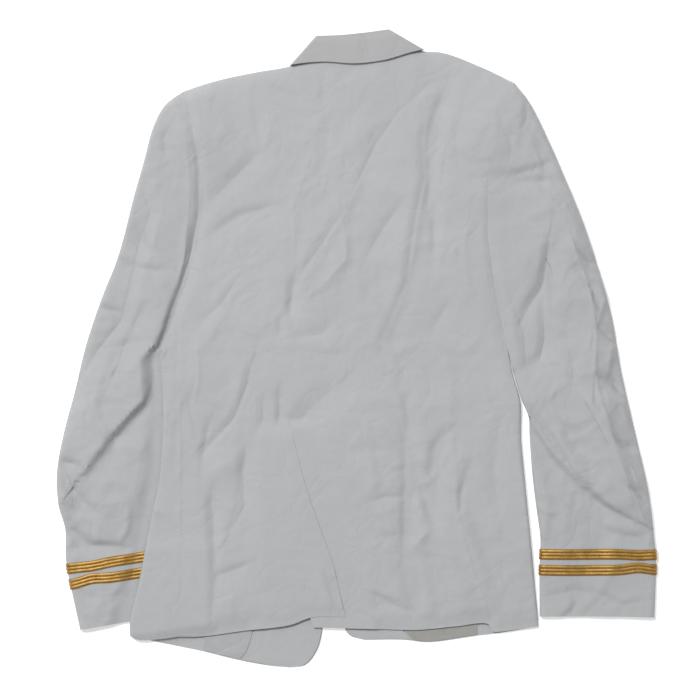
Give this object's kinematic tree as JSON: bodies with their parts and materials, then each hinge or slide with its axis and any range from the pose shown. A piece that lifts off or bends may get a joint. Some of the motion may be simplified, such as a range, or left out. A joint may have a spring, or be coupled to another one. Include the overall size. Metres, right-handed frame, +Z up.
{
  "type": "naval service dress jacket",
  "caption": "Uniform jacket laid flat on its front, back up, with a vented back, turned collar, and gold lace round both cuffs.",
  "frame": {"origin": "centre of the garment's box on the flat surface it lies on", "axes": "+X across the garment, towards the wearer's right sleeve (seen from above the back); +Y towards the collar; +Z up, away from the surface"},
  "size_m": [0.7213, 0.7659, 0.0179],
  "materials": {
    "cloth": "white plain-woven uniform cloth, matte, softly crumpled",
    "lining": "light grey lining cloth with a slight sheen",
    "lace": "woven lace of gold metallic thread, ribbed along its length",
    "button": "plain gilt metal"
  },
  "bodies": {
    "root": {"lining_left": "lining", "lining_right": "lining", "lace_left_lower": "lace", "lace_left_upper": "lace", "lace_right_lower": "lace", "lace_right_upper": "lace", "button_1": "button", "button_2": "button", "button_3": "button", "button_4": "button", "back_left": "cloth", "back_right": "cloth", "front_left": "cloth", "front_right": "cloth", "side_left": "cloth", "side_right": "cloth", "sleeve_left_under": "cloth", "sleeve_left_upper": "cloth", "sleeve_right_under": "cloth", "sleeve_right_upper": "cloth", "collar": "cloth", "collar_stand": "cloth", "lapel_left": "cloth", "lapel_right": "cloth", "facing_left": "cloth", "facing_right": "cloth"}
  },
  "joints": []
}
